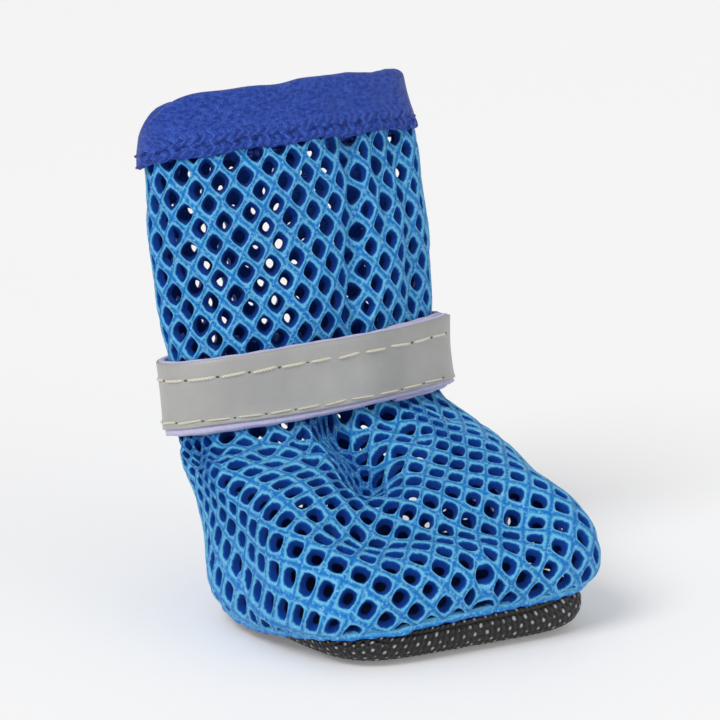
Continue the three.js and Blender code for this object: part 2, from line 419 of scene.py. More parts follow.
def column_place(turn, rise):
    """The place round the boot of a place counted in columns."""
    ankle = eased(rise, -38, -14) * eased(-rise, 0, 5)
    toe = eased(-rise, 6, 30)
    at = turn % 1
    return turn + ankle * np.interp(at, TURNS, ANKLE_SHIFT) + toe * np.interp(at, TURNS, TOE_SHIFT)


print("columns move by up to", round(float(np.abs(ANKLE_SHIFT).max()), 3), "turns at the ankle")

# %% [markdown]
# ## The knitted mesh
# The mesh is a net of round strands about a millimetre thick that cross between rows of holes. It could be a
# flat sheet with see-through spots, but the strands stand up in the light and the holes show the far wall, so
# each hole is real. A hole and half of each strand round it make one cell: a ring of points on the cell's
# four-sided edge, carried over the strand, down through the hole and back underneath. Neighbouring cells
# share their edges, and are welded. Underneath, the section draws in closer than on the outer face, so each
# hole narrows to a ledge, which the finish paints dark blue as painted shade.

# %% One cell of the net
EDGE_STEPS = 5  # points along each of a cell's four sides
STRAND = 1.5  # thickness of the strand through the cloth
STRAND_SECTION = (  # from the outer middle to the inner one: share of the way to the hole, hole's size, depth
    (0.00, 1.00, -0.06),
    (0.35, 1.00, 0.00),
    (0.66, 1.00, -0.08),
    (0.88, 1.00, -0.26),
    (1.00, 1.00, -0.58),
    (1.00, 0.88, -0.82),
    (1.00, 0.71, -0.96),
    (0.85, 0.85, -1.08),
    (0.00, 1.00, -1.05),
)
WIDEST_HOLE = 0.37  # the most that a hole's half width may take of its column
ROWS_PER_TURN = 6  # how many rows the cloth climbs in one turn to the boot's left
HOLE_SEED = 7
HOLE_VARIES = 0.06  # spread of the holes' sizes
HOLE_SHIFTS = (0.02, 0.10)  # spread of their places: along the row in columns, and up the cloth in millimetres
LOST_WIDTH = 0.4  # a cell counts as wholly crowded when its hole has lost this share of its width
SEAM_ALLOWANCE = 0.3  # how far above the seam the net ends
CROWD_LEVELS = 8  # the whole part of the map's v says how crowded a cell is, from 0 to this


def cell_edge():
    """Points along the sides of a diamond that is one column wide and two rows high, as shares of a column
    and of a row."""
    corners = np.array([(0.5, 0), (0, 1), (-0.5, 0), (0, -1)])
    t = np.arange(EDGE_STEPS)[None, :, None] / EDGE_STEPS
    return (corners[:, None] * (1 - t) + np.roll(corners, -1, axis=0)[:, None] * t).reshape(-1, 2)


def snug(around):
    """How much smaller the holes are where the cloth is slack: 1 on the right in front, 0.76 behind on the
    left."""
    return 0.88 + 0.12 * np.cos((around + 0.13) * TURN)


def hole_places(columns, row_step, rows, keep):
    """The middles of the holes in staggered rows, as column places and rises. The columns that the rows'
    climb adds close the turn."""
    across = columns + ROWS_PER_TURN // 2
    column, row = (a.ravel() for a in np.meshgrid(np.arange(across), np.arange(*rows), indexing="ij"))
    turn = (column + row / 2) / columns
    rise = row_step * (row + ROWS_PER_TURN * turn)
    kept = keep(turn, rise)
    return turn[kept][:, None, None], rise[kept][:, None, None]


def column_width(columns, turn, rise):
    """The millimetres from one column to the next at a place on the cloth."""
    half = 0.5 / columns
    left = smooth_cloth(column_place(turn - half, rise), rise)
    right = smooth_cloth(column_place(turn + half, rise), rise)
    return np.linalg.norm(right - left, axis=-1)


def net(name, columns, row_step, rows, hole, hole_power, keep, stands_for=()):
    """A net of holes. hole is the hole's half width and half height in millimetres, and keep says which holes
    the piece has."""
    turn, rise = hole_places(columns, row_step, rows, keep)
    share = cell_edge()
    edge_x = share[None, :, 0, None]
    edge_y = row_step * (share[None, :, 1, None] + ROWS_PER_TURN * edge_x / columns)
    width = column_width(columns, turn, rise)
    wide = np.minimum(hole[0] / width, WIDEST_HOLE)
    tall = hole[1] * (0.5 + 0.5 * wide * width / hole[0])  # a narrow hole is a little shorter too
    direction = np.arctan2(edge_y / tall, edge_x / wide)
    random = np.random.default_rng(HOLE_SEED)
    size = (1 + HOLE_VARIES * random.standard_normal(turn.shape)) * snug(turn)
    shift_x = HOLE_SHIFTS[0] * random.standard_normal(turn.shape)
    shift_y = HOLE_SHIFTS[1] * random.standard_normal(turn.shape)
    hole_x = wide * size * squared(np.cos(direction), hole_power) + shift_x
    hole_y = tall * size * squared(np.sin(direction), hole_power) + shift_y
    reach, shrink, depth = (a[None, None, :] for a in np.array(STRAND_SECTION).T)
    x = edge_x * (1 - reach) + hole_x * shrink * reach
    y = edge_y * (1 - reach) + hole_y * shrink * reach
    around = column_place(turn + x / columns, rise + y)
    place_rise = np.maximum(rise + y, seam_rise(around) + SEAM_ALLOWANCE)
    points = on_cloth(around, place_rise, np.broadcast_to(depth * STRAND, place_rise.shape))
    faces, uv = grid_faces(share.shape[0], len(STRAND_SECTION), wrap_rows=True)
    points, all_faces, uv = many(points.reshape(len(points), -1, 3), faces, uv)
    # How crowded each cell is goes into the map's v, so that the finish can give crowded cells painted shade.
    crowded = np.clip((1 - wide * width / hole[0]) / LOST_WIDTH, 0, 1)
    uv[..., 1] += np.repeat(np.floor(crowded.ravel() * CROWD_LEVELS), len(faces))[:, None]
    print(name, "has", len(turn), "holes,", int((crowded > 0.5).sum()), "of them crowded")
    return mesh_piece(name, points, all_faces, uv, slot="mesh", stands_for=stands_for, weld=0.004)


# %% The shaft and the foot
# The holes are rounded diamonds on the shaft, where the cloth hangs, and round on the foot, where it is
# spread.
shaft_net = net(
    "mesh_shaft",
    columns=28,
    row_step=3.08,
    rows=(-20, 20),
    hole=(1.30, 1.48),
    hole_power=1.7,
    keep=lambda turn, rise: (rise > 0.0) & (rise < rim_rise(turn) - 4.0),
    stands_for=("upper",),
)
foot_net = net(
    "mesh_foot",
    columns=32,
    row_step=2.9,
    rows=(-34, 18),
    hole=(1.34, 1.34),
    hole_power=1.95,
    keep=lambda turn, rise: (rise <= 0.0) & (rise > seam_rise(column_place(turn, rise)) - 1.6),
)

# %% [markdown]
# ## The hem
# Where the mesh is sewn to the sole, its edge is pressed into a thin solid roll that swells a little over the
# sole's rim. It is a closed tube along the seam, with a flattened round section and small gathers.


# %% The hem at the seam
def tube_section(steps):
    turn = np.arange(steps) / steps * TURN
    return np.cos(turn), np.sin(turn)


HEM_STEPS = (720, 14)  # round the boot, and round the tube
HEM_RISE = 0.85  # the tube's middle over the seam
HEM_IN = 0.62  # and in from the cloth's face
HEM_HALF = (0.82, 0.95)  # half its thickness and half its height
HEM_DROP = 0.25
HEM_DIP = (-0.085, 0.012, 0.5)  # a small point that hangs lower: turns from the toe, reach and depth


def hem():
    """A tube round the seam, a little in from the cloth's face, whose thickness varies with gathers."""
    around = np.arange(HEM_STEPS[0])[:, None] / HEM_STEPS[0]
    out, up = (a[None, :] for a in tube_section(HEM_STEPS[1]))
    gather = 1 + 0.10 * np.sin(around * TURN * 61) + 0.08 * np.sin(around * TURN * 37 + 1)
    middle, reach, depth = HEM_DIP
    dip = depth * bell(from_toe(around) - middle, reach)
    rise = seam_rise(around) + HEM_RISE + HEM_HALF[1] * up * gather
    points = on_cloth(around, rise, -HEM_IN + HEM_HALF[0] * out * gather)
    points[..., 2] -= (dip + HEM_DROP) * np.ones_like(up)
    faces, uv = grid_faces(*HEM_STEPS, wrap_rows=True, wrap_columns=True)
    return mesh_piece("mesh_hem", points, faces, uv, slot="mesh")


hem_piece = hem()

# %% [markdown]
# ## The sole
# The sole is thick black cloth woven like a basket and coated, so each yarn's top shines like a bead. It lies
# flat and its edge turns up all round. The skin is a profile, from the middle underneath out and up over the
# rim and back inside, carried round a squarish outline. The weave is pressed into it as real relief.

# %% The sole's skin
SOLE_HALF_LENGTH = 25.9
SOLE_HALF_WIDTH = 24.6
SOLE_TOE_POWER = 5.4
SOLE_HEEL_POWER = 2.6
SEAM_MIDDLE = 5.0
SOLE_PROFILE = (  # share of the outline, height, how far it rises and sinks with the seam
    (0.004, 0.0, 0.0),
    (0.4, 0.0, 0.0),
    (0.79, 0.0, 0.0),
    (0.90, 0.35, 0.0),
    (0.972, 1.4, 0.2),
    (1.0, 3.0, 0.6),
    (0.985, 4.6, 1.0),
    (0.955, 4.9, 1.0),
    (0.925, 4.4, 0.9),
    (0.905, 3.4, 0.6),
    (0.86, 2.5, 0.2),
    (0.70, 2.0, 0.0),
    (0.4, 2.0, 0.0),
    (0.004, 2.0, 0.0),
)
YARN = 1.14  # from one yarn of the sole to the next
RELIEF = 0.42
WALL_FROM = 18.5  # the way along the profile from which the weave is pressed in, not only shaded
WALL_STEP = 0.2
OVER_RIM = 0.6  # how far past the top of the rim the weave goes on
SOLE_MIDDLING = 25.0  # the middling half width that turns shares of the outline into millimetres
OUTLINE_STEPS = 840


def basket(x, y):
    """The height of a plain weave from 0 to 1: the higher of two crossing sets of round yarns, each rising
    and sinking in turn as a cosine along its length."""
    across_x, across_y = x / YARN % 1 - 0.5, y / YARN % 1 - 0.5
    odd = (np.floor(x / YARN) + np.floor(y / YARN)) % 2 * 2 - 1
    bulge_x = np.sqrt(np.maximum(1 - (across_x * 2.0) ** 2, 0))
    bulge_y = np.sqrt(np.maximum(1 - (across_y * 2.0) ** 2, 0))
    lift_along = np.cos(across_y * math.pi) * odd
    lift_across = -np.cos(across_x * math.pi) * odd
    along, across = bulge_x * (0.62 + 0.38 * lift_along), bulge_y * (0.62 + 0.38 * lift_across)
    return np.clip(np.maximum(along, across), 0, 1)


def sole_outline(turn):
    power = np.where(np.cos(turn) > 0, SOLE_TOE_POWER, SOLE_HEEL_POWER)
    return SOLE_HALF_LENGTH * squared(np.cos(turn), power), SOLE_HALF_WIDTH * squared(np.sin(turn), power)


def even_outline(count):
    """The outline's points at even steps along its length, and the height of the seam above its middle
    there."""
    fine = np.linspace(0, TURN, 4001)
    x, y = sole_outline(fine)
    length = running_length(np.stack([x, y], axis=-1), axis=0)
    turn = np.interp(np.arange(count) / count * length[-1], length, fine)
    return np.stack(sole_outline(turn), axis=-1), last_point(turn, np.zeros(count))[..., 2] - SEAM_MIDDLE


def sole():
    """The profile carried round the outline, with the weave pressed in along the normal. The weave's own x
    and y run on past the edge as the cloth does, by the length walked along the profile."""
    outline, seam = even_outline(OUTLINE_STEPS)
    share, height, follow = through(SOLE_PROFILE, np.linspace(0, len(SOLE_PROFILE) - 1, 1501)).T
    walked = running_length(np.stack([share * SOLE_MIDDLING, height], axis=-1), axis=0)
    over = walked[np.argmax(height)] + OVER_RIM
    under = np.linspace(0.1, WALL_FROM, 20)
    wall = np.arange(WALL_FROM + WALL_STEP, over, WALL_STEP)
    steps = np.concatenate([under, wall, np.linspace(over, walked[-1], 14)[1:]])
    share, height, follow = (np.interp(steps, walked, a)[:, None] for a in (share, height, follow))
    points = np.stack([outline[:, 0] * share, outline[:, 1] * share, height + follow * seam], axis=-1)
    sideways = np.roll(points, -1, axis=1) - np.roll(points, 1, axis=1)
    onward = np.gradient(points, axis=0)
    normals = unit(np.cross(sideways, onward))
    flat = outline[None] * (steps / SOLE_MIDDLING)[:, None, None]
    outside = np.clip(np.minimum(over - steps, (steps - WALL_FROM) / 2), 0, 1)[:, None]
    points = points + normals * ((basket(flat[..., 0], flat[..., 1]) - 1) * RELIEF * outside)[..., None]
    faces, _ = grid_faces(len(steps), len(outline), wrap_columns=True)
    uv = flat.reshape(-1, 2)[faces] / 100 + 0.5
    settings = {"stands_for": ("outsole",), "slot": "outsole", "weld": 0.12, "flip": False}
    return mesh_piece("sole_cloth", points, faces, uv, **settings)


sole_object = sole()

# %% [markdown]
# ## The collar's ribbon
# A ribbon is folded over the cloth's raw rim and sewn through, so its lower edges pucker between the
# stitches. Its section is a narrow arch. The section is carried round the collar, and the pucker grows
# towards its edges.

# %% The ribbon
RIBBON = 0.75  # its thickness
RIBBON_WIDTH = 9.2  # from the fold to the lower edge
PUCKER_REACH = 2.2  # how far up from the lower edge it puckers
CORNER_PLACE = 0.733  # turns: on the boot's right the fold is rolled down, which rounds that corner
CORNER_DROP = 4.2
CORNER_REACH = 0.038
RIBBON_STEPS = 640
WALL = 1.8  # the thickness that the ribbon is folded over


def arch_section():
    """The closed section as (proud, rise above the rim): up the outside, over the fold, down the inside,
    and back."""
    down = np.linspace(-RIBBON_WIDTH, -0.4, 16)
    bend = np.linspace(0, math.pi, 12)[1:-1]
    middle, half = -WALL / 2, WALL / 2 + 0.3
    outer = half + RIBBON
    rows = [
        np.stack([np.full_like(down, middle + outer), down], axis=-1),
        np.stack([middle + outer * np.cos(bend), -0.4 + (outer - 0.45) * np.sin(bend)], axis=-1),
        np.stack([np.full_like(down, middle - outer), down[::-1]], axis=-1),
        np.array([[middle - outer + RIBBON / 2, -RIBBON_WIDTH - 0.22]]),
        np.stack([np.full_like(down, middle - half), down], axis=-1),
        np.stack([middle - half * np.cos(bend), -0.4 + (half - 0.3) * np.sin(bend)], axis=-1),
        np.stack([np.full_like(down, middle + half), down[::-1]], axis=-1),
        np.array([[middle + outer - RIBBON / 2, -RIBBON_WIDTH - 0.22]]),
    ]
    return np.concatenate(rows)


def above_rim(around, rise, proud):
    """Cloth places that may lie past the rim, where the cloth is carried straight on."""
    rim = rim_rise(around)
    base = on_cloth(around, rim + np.minimum(rise, 0), proud, folded=False)
    below = on_cloth(around, rim - 1.0, 0 * proud, folded=False)
    up = unit(on_cloth(around, rim, 0 * proud, folded=False) - below)
    return base + up * np.maximum(rise, 0)[..., None]


def ribbon_lift(around, rise):
    """How far the ribbon's face swells between its stitches: most near the lower edge, and a slow wave
    above."""
    near_edge = bell(rise + RIBBON_WIDTH, PUCKER_REACH)
    turn = around * TURN
    pucker = 0.20 * np.sin(turn * 46 + rise * 0.9) + 0.14 * np.sin(turn * 71 + 2 - rise * 1.3)
    slow = 0.14 * np.sin(turn * 7 + 1) + 0.10 * np.sin(turn * 13 + 0.25 * rise)
    return pucker * near_edge + slow * np.clip(-rise / 3, 0, 1)


def ribbon():
    around = np.arange(RIBBON_STEPS)[:, None] / RIBBON_STEPS
    proud, rise = (a[None, :] for a in arch_section().T)
    side = np.sign(proud + WALL / 2)
    ragged = 0.22 * np.sin(around * TURN * 9 + 1) + 0.12 * np.sin(around * TURN * 33)
    edge = np.clip(-rise / RIBBON_WIDTH, 0, 1) ** 3
    rim_wave = 0.18 * np.sin(around * TURN * 5) + 0.10 * np.sin(around * TURN * 11 + 1)
    rim_wave = rim_wave - CORNER_DROP * bell(around - CORNER_PLACE, CORNER_REACH)
    lifted = proud + side * ribbon_lift(around, rise)
    points = above_rim(around + 0 * rise, rise + ragged * edge + rim_wave * (1 - edge), lifted)
    faces, uv = grid_faces(*points.shape[:2], wrap_rows=True, wrap_columns=True)
    return mesh_piece("collar_ribbon", points, faces, uv, stands_for=("collar_binding",), slot="ribbon")


ribbon_piece = ribbon()

# %% [markdown]
# ## The strap
# The strap is two layers sewn together: a pale hook-and-loop tape next to the boot, and a silver reflective
# tape on its outside, a little narrower, so that the pale tape shows below it. It starts at the boot's left,
# goes behind the heel and round by the right to the front, and its free end lies over its own start. Each
# layer is a flat section carried along the strap, standing off the cloth by a height that climbs where it
# passes over the first layer.

# %% The strap's route
STRAP_WIDTH = 13.0
BACKING = 1.0
TAPE = 0.4
TAPE_LOW = -5.3  # the tape's lower edge, from the strap's middle line
TAPE_HIGH = 6.3
STRAP_GAP = 0.5
LAYER_GAP = 0.3
STRAP_EDGE = 4.6  # the tape is uneven farther than this from its middle line


def turns_at(degrees):
    """Turns round the boot, along the strap's line, at an angle round the section that may pass one full
    turn."""
    ring = running_length(last_point(FINE_TURN, np.full(len(FINE_TURN), float(STRAP_HEIGHT))), axis=0)
    whole, part = np.divmod(degrees, 360)
    return whole + np.interp(np.radians(part), FINE_TURN, ring / ring[-1])


STRAP_START = turns_at(20)
STRAP_END = turns_at(428)
TAPE_START = turns_at(76)
CLIMB = (turns_at(340), turns_at(378))


def strap_stand_off(turns):
    """The height of the strap's inner face over the cloth, climbing smoothly on to the first layer."""
    return STRAP_GAP + eased(turns, *CLIMB) * (BACKING + LAYER_GAP)


def strap_wave(turns, across):
    """A slight unevenness of the tape: slow waves along it that differ between its two edges."""
    return 0.12 * np.sin(turns * TURN * 4 + 0.5) * across / 6 + 0.07 * np.sin(turns * TURN * 9 + 0.35 * across)


def flat_section(low, high, thick, steps, round_off):
    """A closed flat section: up its outer face and down its inner one, with softened edges."""
    face = np.linspace(low + round_off, high - round_off, steps)
    crown = np.full(steps, thick)
    outer = np.stack([face, crown], axis=-1)
    inner = np.stack([face[::-1], 0 * crown], axis=-1)
    tip_high = np.array([[high, thick * 0.72], [high, thick * 0.28]])
    tip_low = np.array([[low, thick * 0.28], [low, thick * 0.72]])
    return np.concatenate([outer, tip_high, inner, tip_low])


def strap_layer(name, start, end, low, high, base, thick, slot, stands_for, steps=520, edge_wave=0.0):
    """One layer of the strap. Its ends close by drawing the section's last rings together."""
    turns = np.linspace(start, end, steps)
    turns = np.concatenate([[start, start], turns, [end, end]])[:, None]
    shut = np.concatenate([[0.0, 0.55], np.ones(steps), [0.55, 0.0]])[:, None]
    across, proud = (a[None, :] for a in flat_section(low, high, thick, steps=18, round_off=0.14).T)
    proud = thick / 2 + (proud - thick / 2) * shut
    across = across + edge_wave * np.sin(turns * TURN * 23) * np.sign(across) * (np.abs(across) > STRAP_EDGE)
    lift = strap_stand_off(turns) + base + proud + strap_wave(turns, across)
    points = on_cloth(turns + 0 * across, across + 0 * turns, lift, folded=False)
    faces, uv = grid_faces(*points.shape[:2], wrap_columns=True)
    length = (end - start) * STRAP_GIRTH
    uv = uv * np.array([2 * (high - low), length]) / 100
    return mesh_piece(name, points, faces, uv, slot=slot, stands_for=stands_for, weld=0.002)


backing_piece = strap_layer(
    "strap_backing_tape",
    STRAP_START,
    STRAP_END,
    -STRAP_WIDTH / 2,
    STRAP_WIDTH / 2,
    0.0,
    BACKING,
    "backing",
    ("strap_backing",),
    edge_wave=0.05,
)
tape_piece = strap_layer(
    "silver_tape",
    TAPE_START,
    STRAP_END - 0.002,
    TAPE_LOW,
    TAPE_HIGH,
    BACKING + 0.05,
    TAPE,
    "tape",
    ("reflective_tape",),
)

# %% [markdown]
# ## Stitches
# A lockstitch shows as a row of short bars of thread, each diving into a needle hole at both ends. One bar is
# a thin round tube whose middle rises and whose ends sink. The rows are made at once from arrays of places.

# %% The stitches
STITCH = 4.7
STITCH_SHARE = 0.92  # how much of the step the thread covers
THREAD = 0.54
THREAD_STEPS = (11, 8)  # along one stitch, and round the thread
STITCH_SEED = 11
STRAP_ROWS = (3.4, -4.0)  # the two rows' places across the strap
NEEDLE_HOLE = 0.5
COLLAR_STITCH = 2.2
COLLAR_STEP = 2.9
COLLAR_ROW = 1.7  # up from the ribbon's lower edge


def stitches(name, starts, across, length, slant, base, surface, slot, thread=THREAD, bow=0.30):
    """Bars of thread: along is -1 to 1 from end to end. The bar's height is a flat arch, 1 - along to the
    fourth, and its radius shrinks at the ends. starts and across place each bar's middle."""
    random = np.random.default_rng(STITCH_SEED)
    count = len(starts)
    along = np.linspace(-1, 1, THREAD_STEPS[0])[None, :, None]
    out, side = (a[None, None, :] for a in tube_section(THREAD_STEPS[1]))
    radius = thread / 2 * np.sqrt(1 - along**6)
    tilt = slant + 0.07 * random.standard_normal(count)[:, None, None]
    size = 1 + 0.06 * random.standard_normal(count)[:, None, None]
    along_mm = along * length / 2 * size
    cross = across[:, None, None] + along_mm * tilt + side * radius
    height = base[:, None, None] + bow * (1 - along**4) - bow * 0.75 + out * radius
    turns = starts[:, None, None] + along_mm / STRAP_GIRTH
    shape = np.broadcast(turns, cross, height).shape
    points = surface(*(np.broadcast_to(a, shape) for a in (turns, cross, height)))
    faces, uv = grid_faces(*THREAD_STEPS, wrap_columns=True)
    joined = many(points.reshape(count, -1, 3), faces, uv)
    return mesh_piece(name, *joined, slot=slot, weld=0.002)


def strap_surface(turns, across, proud):
    return on_cloth(turns, across, proud + strap_wave(turns, across), folded=False)


def strap_rows():
    step = STITCH / STRAP_GIRTH
    places = np.arange(TAPE_START + 0.6 * step, STRAP_END - 0.5 * step, step)
    starts = np.concatenate([places, places + 0.4 * step])[: 2 * len(places) - 1]
    across = np.concatenate([np.full(len(places), STRAP_ROWS[0]), np.full(len(places) - 1, STRAP_ROWS[1])])
    base = strap_stand_off(starts) + BACKING + 0.05 + TAPE
    length = STITCH * STITCH_SHARE
    thread = stitches("strap_stitches", starts, across, length, 0.03, base, strap_surface, "backing")
    hole = {"thread": NEEDLE_HOLE, "bow": 0.0}
    between, sunk = starts + step / 2, base - 0.15
    name = "strap_needle_holes"
    needle = stitches(name, between, across, NEEDLE_HOLE, 0.0, sunk, strap_surface, "backing", **hole)
    return thread, needle


def ribbon_rows():
    step = COLLAR_STEP / GIRTHS[-1]
    places = np.arange(0, 1 - step / 2, step)
    across = np.full(len(places), COLLAR_ROW - RIBBON_WIDTH)
    base = np.full(len(places), 0.3 + RIBBON)

    def surface(turns, rise, proud):
        return above_rim(turns, rise, proud + ribbon_lift(turns, rise))

    fine = {"thread": 0.34, "bow": 0.2}
    return stitches("collar_stitches", places, across, COLLAR_STITCH, 0.25, base, surface, "ribbon", **fine)


strap_thread, needle_holes = strap_rows()
ribbon_thread = ribbon_rows()

# %% [markdown]
# ## Writing finishes as expressions
# A finish is a network of nodes. To keep it readable, a small class wraps a socket, and adding, multiplying
# or comparing two of them makes the Math node that does it.


# %% The expression class
def two_sided(operation):
    """An operator's plain and reflected forms."""
    plain = lambda self, other: self.math(operation, self, other)
    reflected = lambda self, other: self.math(operation, other, self)
    return plain, reflected


def one_sided(operation):
    return lambda self: self.math(operation, self)


class Value:
    """A socket that can be used in sums."""

    def __init__(self, finish, socket):
        self.finish = finish
        self.socket = socket

    def math(self, operation, *values):
        return self.finish.node("ShaderNodeMath", {"operation": operation}, dict(enumerate(values)))

    __add__, __radd__ = two_sided("ADD")
    __sub__, __rsub__ = two_sided("SUBTRACT")
    __mul__, __rmul__ = two_sided("MULTIPLY")
    __pow__, __rpow__ = two_sided("POWER")
    at_least, _ = two_sided("MAXIMUM")
    at_most, _ = two_sided("MINIMUM")
    sine = one_sided("SINE")
    whole = one_sided("FLOOR")
    part = one_sided("FRACT")
    size = one_sided("ABSOLUTE")

    def clipped(self):
        return self.at_least(0).at_most(1)

    def wave(self):
        """A sine wave from 0 to 1, once for each whole step of the value."""
        return (self * TURN).sine() * 0.5 + 0.5

    def sharper(self, gain):
        """More contrast about a half."""
        return ((self - 0.5) * gain + 0.5).clipped()


class Finish:
    """A material with one principled shader, and helpers that add nodes to it."""

    def __init__(self, name, **constants):
        self.material = bpy.data.materials.new(name)
        self.material.use_nodes = True
        self.nodes = self.material.node_tree.nodes
        self.links = self.material.node_tree.links
        self.shader = next(n for n in self.nodes if n.type == "BSDF_PRINCIPLED")
        for socket, value in constants.items():
            self.shader.inputs[socket.replace("_", " ")].default_value = value

    def node(self, kind, settings=None, inputs=None, output=0):
        """Adds a node: its settings first, then the values or links of its sockets."""
        made = self.nodes.new(kind)
        for key, value in (settings or {}).items():
            if key == "stops":
                for element, (place, colour) in zip(self.ramp_elements(made, len(value)), value):
                    element.position = place
                    element.color = colour
            else:
                setattr(made, key, value)
        for key, value in (inputs or {}).items():
            if isinstance(value, Value):
                self.links.new(value.socket, made.inputs[key])
            else:
                made.inputs[key].default_value = value
        return Value(self, made.outputs[output])

    def ramp_elements(self, made, count):
        elements = made.color_ramp.elements
        while len(elements) < count:
            elements.new(0.5)
        return elements

    def place(self):
        """Object coordinates, in metres."""
        return self.node("ShaderNodeTexCoord", output="Object")

    def cloth_map(self):
        """The piece's own map as two values, u and v."""
        uv = self.node("ShaderNodeUVMap", {"uv_map": "Map"})
        split = self.node("ShaderNodeSeparateXYZ", inputs={0: uv})
        return split, Value(self, split.socket.node.outputs[1])

    def noise(self, vector, scale, detail=3.0, rough=0.5, stretch=None):
        if stretch:
            vector = self.node("ShaderNodeMapping", inputs={"Vector": vector, "Scale": stretch})
        inputs = {"Vector": vector, "Scale": scale, "Detail": detail, "Roughness": rough}
        return self.node("ShaderNodeTexNoise", inputs=inputs)

    def ramp(self, factor, stops):
        return self.node("ShaderNodeValToRGB", {"stops": stops}, {"Fac": factor})

    def blend(self, factor, a, b, kind="MIX"):
        settings = {"data_type": "RGBA", "blend_type": kind}
        return self.node("ShaderNodeMix", settings, {0: factor, 6: a, 7: b}, output=2)

    def bump(self, height, strength, distance):
        inputs = {"Height": height, "Strength": strength, "Distance": distance}
        return self.node("ShaderNodeBump", inputs=inputs)

    def feed(self, **sockets):
        for socket, value in sockets.items():
            self.links.new(value.socket, self.shader.inputs[socket.replace("_", " ")])
        return self.material


def rgb(red, green, blue):
    """A colour named by its eight-bit screen values, as the shader's linear light."""
    c = np.array([red, green, blue]) / 255
    linear = np.where(c <= 0.04045, c / 12.92, ((c + 0.055) / 1.055) ** 2.4)
    return (*map(float, linear), 1.0)


def dress(material, *pieces):
    for piece in pieces:
        piece.data.materials.clear()
        piece.data.materials.append(material)
        print(piece.name, "is finished in", material.name)


# %% [markdown]
# ## The mesh's finish
# The strands are bright filament yarn of light azure. Their colour also holds painted light: a painted
# highlight in a bright ring round each hole, and painted shade that deepens down the walls of the holes to
# dark blue inside, where the light is lost. The map's u runs over the strand from the outer crown at 0 to the
# inner one at
# 1, and v runs round the hole. Ridges that slant in u and v meet at the crown in the V of a knit stitch. Pale
# painted glints lie on the crowns. The whole part of v says how crowded the cell is, and the crowded ones are
# painted deeper in colour, as painted shade in the gathers.


# %% Mesh finish
def mesh_finish():
    finish = Finish("azure knit", Specular_IOR_Level=0.2)
    over, hole_turn = finish.cloth_map()
    twist = (hole_turn * 20 + over * 8).wave()
    filament = (over * 40 + hole_turn * 6).wave()
    place = finish.place()
    spots = finish.noise(place, 1500)
    tone = finish.noise(place, 90)
    glints = ((finish.noise(place, 1900, 2.0) - 0.52) * 6).clipped()
    shade = over + (spots - 0.5) * 0.22
    # The ramp paints light and shade: a painted highlight in a ring round each hole, and painted shade down
    # its walls and inside.
    colour = finish.ramp(
        shade,
        [
            (0.0, rgb(20, 128, 216)),
            (0.1, rgb(46, 156, 238)),
            (0.19, rgb(124, 222, 255)),
            (0.28, rgb(128, 224, 255)),
            (0.34, rgb(6, 106, 208)),
            (0.42, rgb(0, 58, 152)),
            (1.0, rgb(0, 42, 128)),
        ],
    )
    colour = finish.blend(tone * 0.35, colour, rgb(0, 82, 176))
    colour = finish.blend(twist * spots * 0.4, colour, rgb(0, 84, 182))
    # Painted shade: crowded cells, in the gathers, are painted deeper blue.
    colour = finish.blend(hole_turn.whole() * (0.6 / CROWD_LEVELS), colour, rgb(0, 88, 190))
    # Painted highlight: pale glints scattered over the strands' crowns.
    crown = ((0.34 - over) * 8).clipped()
    colour = finish.blend(glints * crown * 0.65, colour, rgb(150, 222, 252))
    height = twist * 0.7 + filament * 0.2 + spots * 0.6
    return finish.feed(
        Base_Color=colour,
        Roughness=0.32 + spots * 0.22,
        Normal=finish.bump(height, 0.6, 0.0003),
    )


dress(mesh_finish(), shaft_net, foot_net, hem_piece)


# %% [markdown]
# ## The sole's finish
# The coating is nearly black. The two sine waves multiplied give the yarns' tops, which are painted a little
# lighter than the gaps, as painted shade in the gaps. The tops of one of the two sets of yarns catch the
# light, so every second one has a painted glint, a pale painted highlight.


# %% Sole finish
def sole_finish():
    finish = Finish("coated black weave", Specular_IOR_Level=0.45)
    place = finish.place()
    fine = finish.noise(place, 2600)
    dust = finish.noise(place, 160, 4.0)
    uneven = finish.noise(place, 700, 2.0)
    along, across = finish.cloth_map()
    half_turn = 100 * math.pi / YARN
    waves = ((along - 0.5) * half_turn).sine() * ((across - 0.5) * half_turn).sine()
    bead = waves.size() ** 0.5
    glint = ((waves - 0.66 - (uneven - 0.5) * 1.6) * 3).clipped()
    # Painted shade: the gaps between the yarns' tops are painted darker.
    colour = finish.blend(bead, rgb(5, 5, 5), rgb(24, 23, 24))
    colour = finish.blend(dust * 0.3, colour, rgb(40, 38, 40))
    # Painted highlight: a pale glint on every second yarn top.
    colour = finish.blend(glint * 0.9, colour, rgb(176, 174, 174))
    return finish.feed(
        Base_Color=colour,
        Roughness=0.22 + fine * 0.24,
        Normal=finish.bump(bead + fine * 0.2, 0.5, 0.00035),
    )


# The sole's inner face is painted dark blue: painted shade inside the boot, tinted by the blue light that
# comes through the mesh.
def inner_sole_painted_shade_finish():
    finish = Finish("painted blue shade inside the sole", Specular_IOR_Level=0.3)
    fine = finish.noise(finish.place(), 1500)
    colour = finish.blend(fine, rgb(2, 18, 60), rgb(8, 40, 104))
    return finish.feed(Base_Color=colour, Roughness=0.6 + fine * 0.2)


